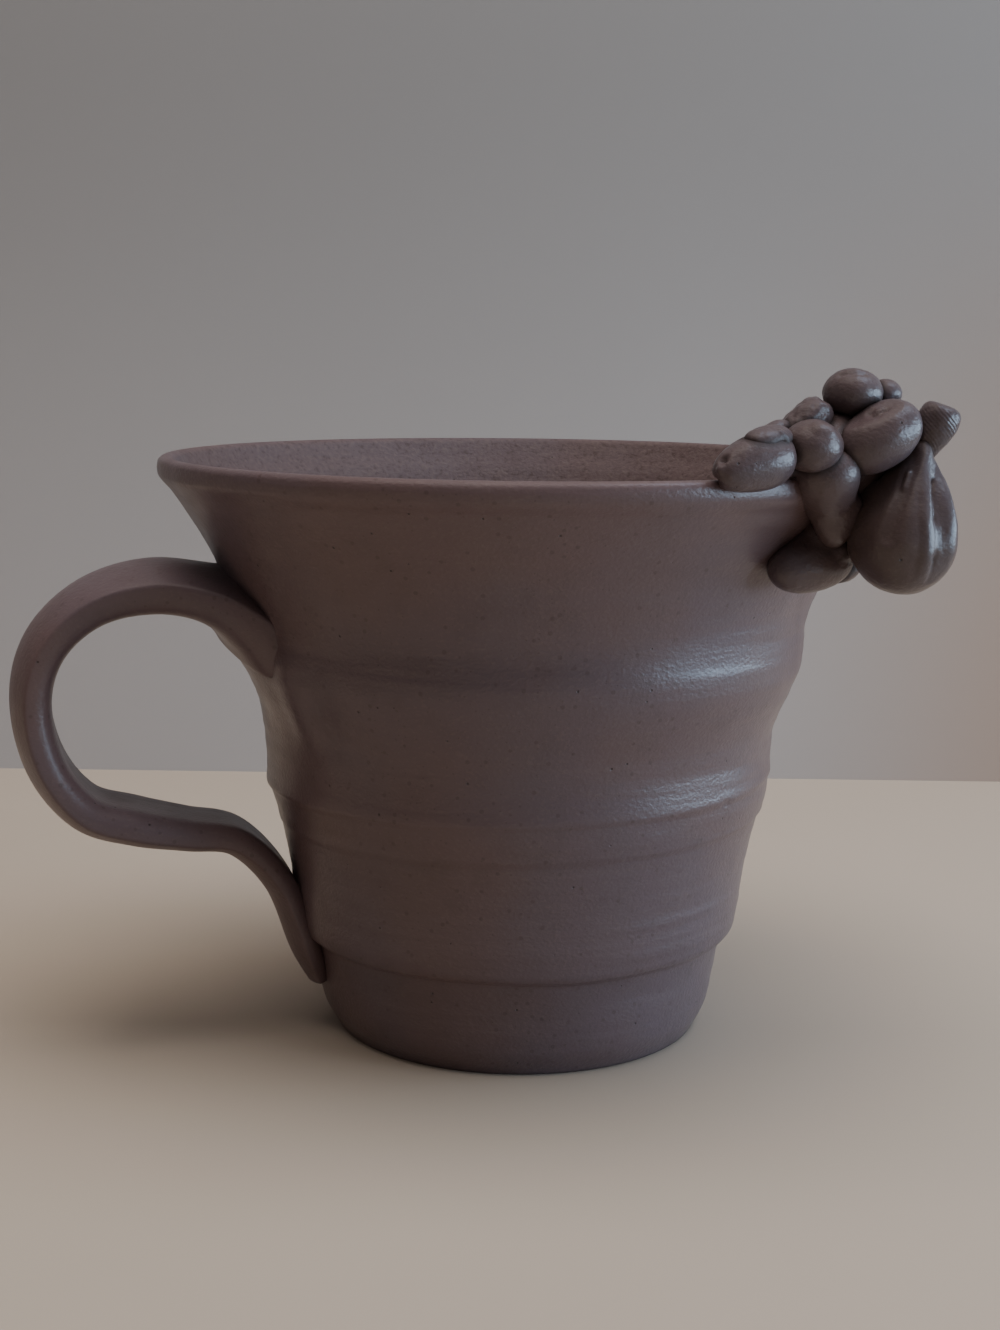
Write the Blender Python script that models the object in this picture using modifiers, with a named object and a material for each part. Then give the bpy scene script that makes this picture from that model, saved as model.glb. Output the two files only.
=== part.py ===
"""A thrown stoneware mug with a pulled strap handle and a small hand-modelled animal on its rim.

The axis of the mug is +Z, and the middle of its flat foot is the origin. The handle stands on the
-X side and the animal on the +X side, both turned a little towards -Y. Every lump of clay is its
own object, and each one is cut back where it was pressed onto its neighbours, leaving the seam.
"""

import math
from dataclasses import dataclass, field

import bmesh
import bpy
from mathutils import Vector

# The wall, as bands from the table up: how tall each band is.
HEEL_HEIGHT = 0.0040
TRIMMED_BAND_HEIGHT = 0.0103
LEDGE_RISE = 0.0016
UPRIGHT_BAND_HEIGHT = 0.0091
OPENING_BAND_HEIGHT = 0.0080
LOWER_SWELL_HEIGHT = 0.0050
LOWER_GROOVE_HEIGHT = 0.0075
MIDDLE_SWELL_HEIGHT = 0.0125
UPPER_GROOVE_HEIGHT = 0.0035
UPPER_SWELL_HEIGHT = 0.0095
FLARE_FOOT_HEIGHT = 0.0060
FLARE_HEIGHT = 0.0075

# The rim's outer radius, and the wall's radius where one band meets the next, as a ratio to it.
RIM_RADIUS = 0.0540
FOOT_RATIO = 0.513
HEEL_RATIO = 0.552
TRIMMED_RATIO = 0.589
LEDGE_DEPTH = 0.0017
UPRIGHT_BAND_RATIO = 0.644
OPENING_BAND_RATIO = 0.676
LOWER_SWELL_RATIO = 0.702
LOWER_GROOVE_RATIO = 0.711
MIDDLE_SWELL_RATIO = 0.787
UPPER_GROOVE_RATIO = 0.789
UPPER_SWELL_RATIO = 0.843
FLARE_FOOT_RATIO = 0.904

# The clay's thickness.
WALL_THICKNESS = 0.0038
LIP_THICKNESS = 0.0032
FLOOR_THICKNESS = 0.0055
INNER_CORNER_RADIUS = 0.0080

# The strap handle's section, at its bend.
STRAP_WIDTH = 0.0150
STRAP_THICKNESS = 0.0058
STRAP_EDGE_THICKNESS = 0.0036

# The strap's middle line: heights above the table, reaches from the wall at the handle's root,
# and standoffs from the wall beside them.
HANDLE_AZIMUTH = math.radians(195.0)
ROOT_HEIGHT = 0.0666
ROOT_DEPTH = 0.0040
ARCH_HEIGHT = 0.0680
ARCH_REACH = 0.0108
HANDLE_REACH = 0.0314
BEND_HEIGHT = 0.0518
BELLY_HEIGHT = 0.0329
BELLY_REACH = 0.0142
KNEE_HEIGHT = 0.0298
KNEE_STANDOFF = 0.0075
TAIL_TOP_HEIGHT = 0.0230
TAIL_TOP_STANDOFF = 0.0025
TAIL_MIDDLE_HEIGHT = 0.0130
TAIL_STANDOFF = 0.0019
TAIL_END_HEIGHT = 0.0080
TAIL_END_STANDOFF = 0.0008

# The strap's thickness there, as a ratio to its thickness at the bend.
ROOT_SWELL_RATIO = 1.60
ARCH_SWELL_RATIO = 1.25
BELLY_SWELL_RATIO = 1.04
KNEE_SWELL_RATIO = 0.82
TAIL_SWELL_RATIO = 0.76
TAIL_END_SWELL_RATIO = 0.52

# The animal's lumps, each as the width and the length that it was rolled to.
ANIMAL_AZIMUTH = math.radians(-38.0)
TORSO_WIDTH = 0.0090
TORSO_LENGTH = 0.0160
ARM_WIDTH = 0.0085
ARM_LENGTH = 0.0117
SHOULDER_WIDTH = 0.0070
HEAD_WIDTH = 0.0072
HEAD_LENGTH = 0.0118
NECK_WIDTH = 0.0060
NECK_LENGTH = 0.0080
NEAR_EAR_WIDTH = 0.0040
NEAR_EAR_LENGTH = 0.0058
FAR_EAR_WIDTH = 0.0026
FAR_EAR_LENGTH = 0.0042
EAR_THICKNESS = 0.0025
UPPER_BUNDLE_WIDTH = 0.0070
UPPER_BUNDLE_HEIGHT = 0.0064
SMALL_BUNDLE_WIDTH = 0.0049
SMALL_BUNDLE_HEIGHT = 0.0042
LEG_WIDTH = 0.0080
NEAR_FOOT_WIDTH = 0.0076
NEAR_FOOT_LENGTH = 0.0136
FAR_FOOT_WIDTH = 0.0044
FAR_FOOT_LENGTH = 0.0070
SACK_WIDTH = 0.0147
SACK_HEIGHT = 0.0206
SACK_FOLDS = 7
SACK_FOLD_DEPTH = 0.05
SACK_DRAW = 0.75
SACK_NECK_WIDTH = 0.0044
SACK_NECK_LENGTH = 0.0088

# Where the animal sits on the lip and against the wall.
TORSO_OVERHANG = 0.0008
TORSO_SHIFT = -0.0012
HIP_OVERHANG = 0.0010
HIP_SHIFT = -0.0038
HIP_RISE = 0.0030
FOOT_DROP = 0.0123
FOOT_SHIFT = -0.0022
HEEL_SHIFT = 0.0030

# How deep each lump was pressed onto what it sits on.
TORSO_PRESS = 0.0011
ARM_PRESS = 0.0029
SHOULDER_PRESS = 0.0033
HEAD_PRESS = 0.0003
NEAR_EAR_PRESS = 0.0018
FAR_EAR_PRESS = 0.0006
NECK_PRESS = 0.0026
UPPER_BUNDLE_PRESS = 0.0004
SMALL_BUNDLE_PRESS = 0.0009
SACK_PRESS = 0.0018
SACK_NECK_PRESS = 0.0022
FOOT_PRESS = 0.0003
FAR_FOOT_PRESS = 0.0037
LEG_PRESS = 0.0014

# How finely the shapes are drawn.
TURNING_STEPS = 52
WALL_POINT_SPACING = 0.0034
ROUND_STEPS = 5
STRAP_STEPS = 48
LUMP_SEGMENTS = 18
LUMP_RINGS = 11
SACK_SEGMENTS = 28

# The seam left where one piece was luted onto another.
SEAM = 0.0003

COLLECTION_NAME = "clay_mug"
CUTTER_COLLECTION_NAME = "cutters"


def outer_stations():
    """The wall's outer outline as (height, radius), from the foot's edge to the rim."""
    bands = (
        (0.0, RIM_RADIUS * FOOT_RATIO),
        (HEEL_HEIGHT, RIM_RADIUS * HEEL_RATIO),
        (TRIMMED_BAND_HEIGHT, RIM_RADIUS * TRIMMED_RATIO),
        (LEDGE_RISE, RIM_RADIUS * TRIMMED_RATIO + LEDGE_DEPTH),
        (UPRIGHT_BAND_HEIGHT, RIM_RADIUS * UPRIGHT_BAND_RATIO),
        (OPENING_BAND_HEIGHT, RIM_RADIUS * OPENING_BAND_RATIO),
        (LOWER_SWELL_HEIGHT, RIM_RADIUS * LOWER_SWELL_RATIO),
        (LOWER_GROOVE_HEIGHT, RIM_RADIUS * LOWER_GROOVE_RATIO),
        (MIDDLE_SWELL_HEIGHT, RIM_RADIUS * MIDDLE_SWELL_RATIO),
        (UPPER_GROOVE_HEIGHT, RIM_RADIUS * UPPER_GROOVE_RATIO),
        (UPPER_SWELL_HEIGHT, RIM_RADIUS * UPPER_SWELL_RATIO),
        (FLARE_FOOT_HEIGHT, RIM_RADIUS * FLARE_FOOT_RATIO),
        (FLARE_HEIGHT, RIM_RADIUS),
    )
    stations = []
    height = 0.0
    for rise, radius in bands:
        height += rise
        stations.append((height, radius))
    return stations


STATIONS = outer_stations()
RIM_HEIGHT = STATIONS[-1][0]
LIP_TOP = RIM_HEIGHT + LIP_THICKNESS / 2
LIP_MIDDLE_RADIUS = RIM_RADIUS - LIP_THICKNESS / 2


def station_slopes(stations):
    """A slope at each station that makes the curve swell and narrow with no overshoot."""
    steps = [
        (upper[1] - lower[1]) / (upper[0] - lower[0])
        for lower, upper in zip(stations, stations[1:])
    ]
    slopes = [steps[0]]
    for below, above in zip(steps, steps[1:]):
        flat = below * above <= 0
        slopes.append(0.0 if flat else 2 * below * above / (below + above))
    slopes.append(steps[-1])
    return slopes


SLOPES = station_slopes(STATIONS)


def wall_radius(height):
    """The wall's outer radius at a height, on a smooth curve through the stations."""
    height = min(max(height, 0.0), RIM_HEIGHT)
    for index, (lower, upper) in enumerate(zip(STATIONS, STATIONS[1:])):
        if height <= upper[0]:
            break
    rise = upper[0] - lower[0]
    t = (height - lower[0]) / rise
    return (
        (2 * t**3 - 3 * t**2 + 1) * lower[1]
        + (t**3 - 2 * t**2 + t) * rise * SLOPES[index]
        + (3 * t**2 - 2 * t**3) * upper[1]
        + (t**3 - t**2) * rise * SLOPES[index + 1]
    )


def wall_thickness(height):
    """The wall thins from its full thickness to the lip's over the flare and its foot."""
    thinned = FLARE_FOOT_HEIGHT + FLARE_HEIGHT
    part = max(0.0, 1 - (RIM_HEIGHT - height) / thinned)
    return WALL_THICKNESS + (LIP_THICKNESS - WALL_THICKNESS) * part


def spaced_heights(low, high):
    """Heights from low to high, about one point spacing apart, both ends included."""
    count = max(1, round((high - low) / WALL_POINT_SPACING))
    return [low + (high - low) * step / count for step in range(count + 1)]


def outer_wall_points(grow):
    """The outer outline's (radius, height) points from the rim down to the foot's edge."""
    heights = []
    for (low, _), (high, _) in zip(STATIONS, STATIONS[1:]):
        heights.extend(spaced_heights(low, high)[:-1])
    heights.append(RIM_HEIGHT)
    return [(wall_radius(height) + grow, height) for height in reversed(heights)]


def lip_points(grow):
    """The rounded lip's points, from its inner side over the top to its outer side."""
    radius = LIP_THICKNESS / 2 + grow
    turns = [math.pi * (1 - step / ROUND_STEPS) for step in range(ROUND_STEPS)]
    return [
        (LIP_MIDDLE_RADIUS + radius * math.cos(turn), RIM_HEIGHT + radius * math.sin(turn))
        for turn in turns
    ]


def inner_wall_points(grow):
    """The hollow's points from the middle of the floor, round the corner and up to the lip."""
    corner_top = FLOOR_THICKNESS + INNER_CORNER_RADIUS
    corner_radius = INNER_CORNER_RADIUS - grow
    corner_middle = wall_radius(corner_top) - wall_thickness(corner_top) - INNER_CORNER_RADIUS
    points = [(0.0, FLOOR_THICKNESS + grow)]
    for step in range(ROUND_STEPS):
        turn = math.pi / 2 * step / ROUND_STEPS
        points.append(
            (
                corner_middle + corner_radius * math.sin(turn),
                corner_top - corner_radius * math.cos(turn),
            )
        )
    heights = spaced_heights(corner_top, RIM_HEIGHT)[:-1]
    points.extend((wall_radius(z) - wall_thickness(z) - grow, z) for z in heights)
    return points


def cup_profile(grow=0.0):
    """The cup's whole half section as (radius, height): the hollow, the lip, the wall, the foot.

    With grow, every surface moves outwards by that much, for the cutter that leaves a seam.
    """
    points = inner_wall_points(grow) + lip_points(grow) + outer_wall_points(grow)
    return points[:-1] + [(wall_radius(0.0) + grow, -grow), (0.0, -grow)]


def filled_profile(grow):
    """The space inside the cup's outer surface, hollow included, for cutting what stands on it."""
    return [(0.0, LIP_TOP + grow)] + outer_wall_points(grow) + [(0.0, -grow)]


def new_collection(name):
    """A collection linked to the scene."""
    collection = bpy.data.collections.new(name)
    bpy.context.scene.collection.children.link(collection)
    return collection


def clay(name, colour, roughness):
    """A fired clay material."""
    material = bpy.data.materials.new(name)
    material.use_nodes = True
    shader = material.node_tree.nodes["Principled BSDF"]
    shader.inputs["Base Color"].default_value = (*colour, 1.0)
    shader.inputs["Roughness"].default_value = roughness
    shader.inputs["Metallic"].default_value = 0.0
    return material


def add_object(name, mesh, collection, parent=None):
    """An object for a mesh, in a collection, under an optional parent."""
    obj = bpy.data.objects.new(name, mesh)
    collection.objects.link(obj)
    obj.parent = parent
    return obj


def as_cutter(obj):
    """Marks a helper that only cuts or guides."""
    obj.hide_render = True
    obj.display_type = "WIRE"
    return obj


def turned(name, profile, collection):
    """A shape turned about its own Z axis from (radius, height) points, outer side downwards."""
    mesh = bpy.data.meshes.new(name)
    shape = bmesh.new()
    rows = [shape.verts.new((radius, 0.0, height)) for radius, height in profile]
    for upper, lower in zip(rows, rows[1:]):
        shape.edges.new((upper, lower))
    shape.to_mesh(mesh)
    shape.free()
    obj = add_object(name, mesh, collection)
    screw = obj.modifiers.new("turn", "SCREW")
    screw.steps = TURNING_STEPS
    screw.render_steps = TURNING_STEPS
    screw.use_merge_vertices = True
    screw.merge_threshold = 0.00001
    screw.use_smooth_shade = True
    return obj


def cut(obj, cutters):
    """Cuts an object back from each cutter."""
    for cutter in cutters:
        boolean = obj.modifiers.new("seam_" + cutter.name, "BOOLEAN")
        boolean.operation = "DIFFERENCE"
        boolean.solver = "EXACT"
        boolean.object = cutter


def smooth_line(knots, steps):
    """Points on a smooth line through the knots, evenly shared among the spans between them."""
    ends = [knots[0]] + knots + [knots[-1]]
    spans = len(knots) - 1
    line = []
    for step in range(steps + 1):
        index = min(step * spans // steps, spans - 1)
        t = step * spans / steps - index
        weights = (
            (-(t**3) + 2 * t**2 - t) / 2,
            (3 * t**3 - 5 * t**2 + 2) / 2,
            (-3 * t**3 + 4 * t**2 + t) / 2,
            (t**3 - t**2) / 2,
        )
        near = ends[index : index + 4]
        line.append(
            [sum(weight * knot[axis] for weight, knot in zip(weights, near)) for axis in range(3)]
        )
    return line


def handle_knots():
    """The handle's middle line as (reach, height, swell): root, arch, bend, belly, knee, tail."""
    root_reach = wall_radius(ROOT_HEIGHT)
    arch_reach = root_reach + ARCH_REACH
    bend_reach = root_reach + HANDLE_REACH - STRAP_THICKNESS / 2
    belly_reach = root_reach + BELLY_REACH
    root_end_swell = (ROOT_SWELL_RATIO + ARCH_SWELL_RATIO) / 2
    knots = [
        (root_reach - ROOT_DEPTH, ROOT_HEIGHT - ROOT_DEPTH / 4, ROOT_SWELL_RATIO),
        (root_reach + ROOT_DEPTH / 4, ROOT_HEIGHT, root_end_swell),
    ]
    arc_steps = 3
    for step in range(arc_steps + 1):
        turn = math.pi / 2 * step / arc_steps
        reach = arch_reach + (bend_reach - arch_reach) * math.sin(turn)
        height = BEND_HEIGHT + (ARCH_HEIGHT - BEND_HEIGHT) * math.cos(turn)
        knots.append((reach, height, ARCH_SWELL_RATIO + (1 - ARCH_SWELL_RATIO) * math.sin(turn)))
    for step in range(1, arc_steps + 1):
        turn = math.pi / 2 * step / arc_steps
        reach = belly_reach + (bend_reach - belly_reach) * math.cos(turn)
        height = BEND_HEIGHT - (BEND_HEIGHT - BELLY_HEIGHT) * math.sin(turn)
        knots.append((reach, height, BELLY_SWELL_RATIO + (1 - BELLY_SWELL_RATIO) * math.cos(turn)))
    knee_reach = wall_radius(KNEE_HEIGHT) + KNEE_STANDOFF
    tail_top_reach = wall_radius(TAIL_TOP_HEIGHT) + TAIL_TOP_STANDOFF
    tail_middle_reach = wall_radius(TAIL_MIDDLE_HEIGHT) + TAIL_STANDOFF
    tail_end_reach = wall_radius(TAIL_END_HEIGHT) + TAIL_END_STANDOFF
    return knots + [
        (
            (belly_reach + knee_reach) / 2,
            (BELLY_HEIGHT + KNEE_HEIGHT) / 2,
            (BELLY_SWELL_RATIO + KNEE_SWELL_RATIO) / 2,
        ),
        (knee_reach, KNEE_HEIGHT, KNEE_SWELL_RATIO),
        (tail_top_reach, TAIL_TOP_HEIGHT, TAIL_SWELL_RATIO),
        (tail_middle_reach, TAIL_MIDDLE_HEIGHT, TAIL_SWELL_RATIO),
        (tail_end_reach, TAIL_END_HEIGHT, TAIL_END_SWELL_RATIO),
    ]


def strap_section(collection):
    """The strap's section as (across, outwards): flat inside, crowned outside, with round edges."""
    inner = -STRAP_THICKNESS / 2
    edge_radius = STRAP_EDGE_THICKNESS / 2
    crown = STRAP_THICKNESS - STRAP_EDGE_THICKNESS
    half_width = STRAP_WIDTH / 2
    edge_steps = 4
    points = []
    for step in range(edge_steps + 1):
        turn = math.pi * (step / edge_steps - 0.5)
        across = half_width - edge_radius + edge_radius * math.cos(turn)
        points.append((across, inner + edge_radius + edge_radius * math.sin(turn)))
    crown_steps = 3
    for step in range(1, crown_steps + 1):
        part = (half_width - edge_radius) / half_width * (1 - step / crown_steps)
        points.append((half_width * part, inner + STRAP_EDGE_THICKNESS + crown * (1 - part**2)))
    outline = points + [(-across, out) for across, out in reversed(points[:-1])]
    curve = bpy.data.curves.new("strap_section", "CURVE")
    curve.dimensions = "2D"
    curve.fill_mode = "NONE"
    spline = curve.splines.new("POLY")
    spline.points.add(len(outline) - 1)
    spline.use_cyclic_u = True
    for point, (across, out) in zip(spline.points, outline):
        point.co = (across, out, 0.0, 1.0)
    return as_cutter(add_object("strap_section", curve, collection))


def build_handle(collection, helpers):
    """The pulled strap as a curve swept with its section, made a mesh so that it can be cut."""
    curve = bpy.data.curves.new("handle_line", "CURVE")
    curve.dimensions = "3D"
    curve.twist_mode = "MINIMUM"
    curve.bevel_mode = "OBJECT"
    curve.bevel_object = strap_section(helpers)
    curve.use_fill_caps = True
    line = smooth_line(handle_knots(), STRAP_STEPS)
    spline = curve.splines.new("POLY")
    spline.points.add(len(line) - 1)
    for point, (reach, height, swell) in zip(spline.points, line):
        point.co = (reach, 0.0, height, 1.0)
        point.radius = swell
    guide = add_object("handle_line", curve, helpers)
    guide.rotation_euler = (0.0, 0.0, HANDLE_AZIMUTH)
    bpy.context.view_layer.update()
    evaluated = guide.evaluated_get(bpy.context.evaluated_depsgraph_get())
    mesh = bpy.data.meshes.new_from_object(evaluated)
    mesh.name = "handle"
    shape = bmesh.new()
    shape.from_mesh(mesh)
    bmesh.ops.remove_doubles(shape, verts=shape.verts, dist=0.00001)
    bmesh.ops.recalc_face_normals(shape, faces=shape.faces)
    shape.to_mesh(mesh)
    shape.free()
    mesh.shade_smooth()
    handle = add_object("handle", mesh, collection)
    handle.matrix_world = guide.matrix_world.copy()
    bpy.data.objects.remove(guide)
    return handle


@dataclass
class Lump:
    """One rolled lump of clay, in the frame of the animal's seat.

    The frame's X runs outwards from the mug's axis, Y along the rim away from the snout, and Z
    up. size is (across, across, along the axis), and taper thickens the end that axis points to.
    """

    name: str
    size: tuple
    axis: tuple = (0.0, 0.0, 1.0)
    taper: float = 0.0
    segments: int = LUMP_SEGMENTS
    place: Vector = field(default_factory=Vector)

    def turn(self):
        """The rotation that takes +Z to the lump's axis."""
        return Vector((0.0, 0.0, 1.0)).rotation_difference(Vector(self.axis).normalized())

    def reach(self, way):
        """How far the lump reaches from its middle in a direction."""
        own_way = self.turn().inverted() @ way.normalized()
        return 1 / math.sqrt(sum((2 * part / side) ** 2 for part, side in zip(own_way, self.size)))

    def press_on(self, neighbour, towards, press):
        """Places the lump against a neighbour, on the side that towards points to."""
        way = Vector(towards).normalized()
        self.place = neighbour.place + way * (neighbour.reach(way) + self.reach(-way) - press)
        return self

    def shaped(self, along, turn):
        """How much wider the lump is than its ellipsoid, at a height from -1 to 1 and a turn."""
        return 1 + self.taper * along

    def make(self, name, collection, seat, grow=0.0):
        """The lump as an object under the animal's seat, its surface moved outwards by grow."""
        mesh = bpy.data.meshes.new(name)
        shape = bmesh.new()
        bmesh.ops.create_uvsphere(
            shape, u_segments=self.segments, v_segments=LUMP_RINGS, radius=1.0
        )
        radii = [side / 2 + grow for side in self.size]
        for vert in shape.verts:
            widening = self.shaped(vert.co.z, math.atan2(vert.co.y, vert.co.x))
            vert.co.x *= radii[0] * widening
            vert.co.y *= radii[1] * widening
            vert.co.z *= radii[2]
        shape.to_mesh(mesh)
        shape.free()
        mesh.shade_smooth()
        obj = add_object(name, mesh, collection, seat)
        obj.location = self.place
        obj.rotation_mode = "QUATERNION"
        obj.rotation_quaternion = self.turn()
        return obj


@dataclass
class Sack(Lump):
    """The hanging sack: a drop drawn in towards its neck, with folds that run down from there."""

    def shaped(self, along, turn):
        """Drawn in above its middle, and folded by a cosine that fades at both ends."""
        drawn = 1 - SACK_DRAW * max(0.0, along) ** 2
        return drawn * (1 + SACK_FOLD_DEPTH * math.cos(SACK_FOLDS * turn) * (1 - along**2))


def rolled(width, length):
    """The size of a lump rolled to one width."""
    return (width, width, length)


def body_lumps():
    """The torso on the lip, and the arm, shoulder and neck that were pressed onto it."""
    torso = Lump("torso", rolled(TORSO_WIDTH, TORSO_LENGTH), (0.0, 1.0, 0.0))
    torso.place = Vector((TORSO_OVERHANG, TORSO_SHIFT, TORSO_WIDTH / 2 - TORSO_PRESS))
    arm = Lump("arm", rolled(ARM_WIDTH, ARM_LENGTH), (0.50, 0.62, 0.60))
    arm.press_on(torso, (0.96, -0.01, 0.28), ARM_PRESS)
    shoulder = Lump("shoulder", rolled(SHOULDER_WIDTH, SHOULDER_WIDTH))
    shoulder.press_on(torso, (0.11, -0.99, 0.09), SHOULDER_PRESS)
    neck = Lump("neck", rolled(NECK_WIDTH, NECK_LENGTH), (0.25, 0.62, 0.74))
    neck.press_on(torso, (-0.18, -0.82, 0.53), NECK_PRESS)
    return torso, arm, shoulder, neck


def head_lumps(shoulder, neck):
    """The head, its snout resting along the lip, and its two ears."""
    head = Lump("head", rolled(HEAD_WIDTH, HEAD_LENGTH), (0.28, 0.93, 0.22), taper=0.26)
    head.press_on(shoulder, (-0.37, -0.90, -0.22), HEAD_PRESS)
    near_size = (EAR_THICKNESS, NEAR_EAR_WIDTH, NEAR_EAR_LENGTH)
    near_ear = Lump("near_ear", near_size, (0.25, 0.93, -0.25))
    near_ear.press_on(head, (0.60, 0.30, 0.74), NEAR_EAR_PRESS)
    far_size = (EAR_THICKNESS, FAR_EAR_WIDTH, FAR_EAR_LENGTH)
    far_ear = Lump("far_ear", far_size, (0.20, 0.80, 0.30))
    far_ear.press_on(neck, (-0.29, -0.95, -0.09), FAR_EAR_PRESS)
    return head, near_ear, far_ear


def bundle_lumps(torso):
    """The two balls on the animal's back."""
    upper = Lump("upper_bundle", rolled(UPPER_BUNDLE_WIDTH, UPPER_BUNDLE_HEIGHT))
    upper.press_on(torso, (0.20, 0.02, 0.98), UPPER_BUNDLE_PRESS)
    small = Lump("small_bundle", rolled(SMALL_BUNDLE_WIDTH, SMALL_BUNDLE_HEIGHT))
    small.press_on(upper, (0.54, 0.84, 0.04), SMALL_BUNDLE_PRESS)
    return upper, small


def leg_lumps(torso):
    """The feet pressed against the wall, and the leg that spans from the torso to the near one."""
    near_size = rolled(NEAR_FOOT_WIDTH, NEAR_FOOT_LENGTH)
    near_foot = Lump("near_foot", near_size, (0.36, 0.92, 0.10))
    inwards = Vector((-1.0, 0.0, 0.0))
    standoff = wall_radius(LIP_TOP - FOOT_DROP) + near_foot.reach(inwards) - FOOT_PRESS
    near_foot.place = Vector((standoff - LIP_MIDDLE_RADIUS, FOOT_SHIFT, -FOOT_DROP))
    far_foot = Lump("far_foot", rolled(FAR_FOOT_WIDTH, FAR_FOOT_LENGTH), (0.30, 0.90, 0.25))
    far_foot.press_on(near_foot, (0.30, 0.95, -0.09), FAR_FOOT_PRESS)
    hip = torso.place + Vector((HIP_OVERHANG, HIP_SHIFT, HIP_RISE))
    heel = near_foot.place + Vector(near_foot.axis).normalized() * HEEL_SHIFT
    upwards = (hip - heel).normalized()
    ankle = heel + upwards * (near_foot.reach(upwards) - LEG_PRESS)
    leg = Lump("leg", rolled(LEG_WIDTH, (hip - ankle).length), tuple(upwards), taper=0.42)
    leg.place = (hip + ankle) / 2
    return near_foot, far_foot, leg


def sack_lumps(arm):
    """The sack that hangs from the arm, and its gathered mouth."""
    sack = Sack("sack", rolled(SACK_WIDTH, SACK_HEIGHT), (0.10, 0.10, 0.99), segments=SACK_SEGMENTS)
    sack.press_on(arm, (0.20, 0.34, -0.92), SACK_PRESS)
    neck_size = rolled(SACK_NECK_WIDTH, SACK_NECK_LENGTH)
    sack_neck = Lump("sack_neck", neck_size, (0.34, 0.25, 0.90), taper=0.25)
    sack_neck.press_on(sack, (0.21, 0.27, 0.94), SACK_NECK_PRESS)
    return sack, sack_neck


def animal_lumps():
    """The animal's lumps in the order they keep their shape: a later one is cut by the earlier."""
    torso, arm, shoulder, neck = body_lumps()
    head, near_ear, far_ear = head_lumps(shoulder, neck)
    upper_bundle, small_bundle = bundle_lumps(torso)
    near_foot, far_foot, leg = leg_lumps(torso)
    sack, sack_neck = sack_lumps(arm)
    front = [arm, shoulder, head, upper_bundle, small_bundle, sack, near_ear, near_foot]
    return front + [neck, sack_neck, far_ear, torso, leg, far_foot]


def build_animal(collection, helpers, cup_space):
    """Every lump of the animal, each cut by the cup and by the lumps that keep their shape."""
    seat = bpy.data.objects.new("animal_seat", None)
    collection.objects.link(seat)
    seat.location = (
        LIP_MIDDLE_RADIUS * math.cos(ANIMAL_AZIMUTH),
        LIP_MIDDLE_RADIUS * math.sin(ANIMAL_AZIMUTH),
        LIP_TOP,
    )
    seat.rotation_euler = (0.0, 0.0, ANIMAL_AZIMUTH)
    pieces = []
    spaces = [cup_space]
    for lump in animal_lumps():
        piece = lump.make(lump.name, collection, seat)
        cut(piece, spaces)
        spaces.append(as_cutter(lump.make(lump.name + "_space", helpers, seat, SEAM)))
        pieces.append(piece)
    return pieces


def main():
    """Builds the mug."""
    for obj in list(bpy.data.objects):
        bpy.data.objects.remove(obj)
    collection = new_collection(COLLECTION_NAME)
    helpers = new_collection(CUTTER_COLLECTION_NAME)
    cup = turned("cup_body", cup_profile(), collection)
    cup_space = as_cutter(turned("cup_space", cup_profile(SEAM), helpers))
    handle = build_handle(collection, helpers)
    cut(handle, [as_cutter(turned("filled_cup_space", filled_profile(SEAM), helpers))])
    animal = build_animal(collection, helpers, cup_space)
    cup.data.materials.append(clay("body_clay", (0.115, 0.078, 0.066), 0.62))
    handle.data.materials.append(clay("handle_clay", (0.115, 0.078, 0.068), 0.55))
    for piece in animal:
        piece.data.materials.append(clay(piece.name + "_clay", (0.105, 0.073, 0.062), 0.45))


main()
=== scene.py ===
"""The finished look of a hand-thrown stoneware mug, dressed piece by piece over its solids.

Sizes in the classes below are millimetres in the part's own frame: the turning axis is +Z, the
table is at height 0, the handle stands on the -X side and the small animal on the +X side. Each
mesh is brought to metres when its piece is finished.
"""

import logging
import math
from dataclasses import dataclass, field, replace
from enum import Enum
from functools import cached_property

import bmesh
import bpy
from mathutils import Matrix, Quaternion, Vector, noise


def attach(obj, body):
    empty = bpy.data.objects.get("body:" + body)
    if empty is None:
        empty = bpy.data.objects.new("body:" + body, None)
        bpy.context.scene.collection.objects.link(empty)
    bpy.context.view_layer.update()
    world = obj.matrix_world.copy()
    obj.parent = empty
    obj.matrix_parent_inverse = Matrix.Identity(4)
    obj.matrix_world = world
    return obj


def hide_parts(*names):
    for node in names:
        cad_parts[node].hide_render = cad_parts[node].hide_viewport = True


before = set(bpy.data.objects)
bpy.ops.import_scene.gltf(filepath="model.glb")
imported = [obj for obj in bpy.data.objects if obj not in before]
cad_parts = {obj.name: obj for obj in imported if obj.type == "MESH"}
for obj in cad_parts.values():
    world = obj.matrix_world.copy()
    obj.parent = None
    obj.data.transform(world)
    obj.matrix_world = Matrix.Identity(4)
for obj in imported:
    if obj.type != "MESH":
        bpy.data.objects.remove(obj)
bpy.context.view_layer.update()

LOG = logging.getLogger("clay_mug")
MILLIMETRE = 0.001

Triple = tuple[float, float, float]
Colour = Triple
Point = tuple[float, float]


def smooth_step(value: float, low: float, high: float) -> float:
    """Rises smoothly from 0 at low to 1 at high, or falls if high is the smaller.

    Args:
        value: The number to judge.
        low: Where the rise starts.
        high: Where the rise ends.

    Returns:
        A part from 0 to 1.
    """
    part = min(max((value - low) / (high - low), 0.0), 1.0)
    return part * part * (3 - 2 * part)


def hump(value: float, middle: float, half_width: float) -> float:
    """A smooth hump that is 1 at its middle and 0 beyond its half width.

    Args:
        value: The number to judge.
        middle: Where the hump is highest.
        half_width: How far it reaches to each side.

    Returns:
        A part from 0 to 1.
    """
    away = abs(value - middle) / half_width
    return (1 - away * away) ** 2 if away < 1 else 0.0


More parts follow.
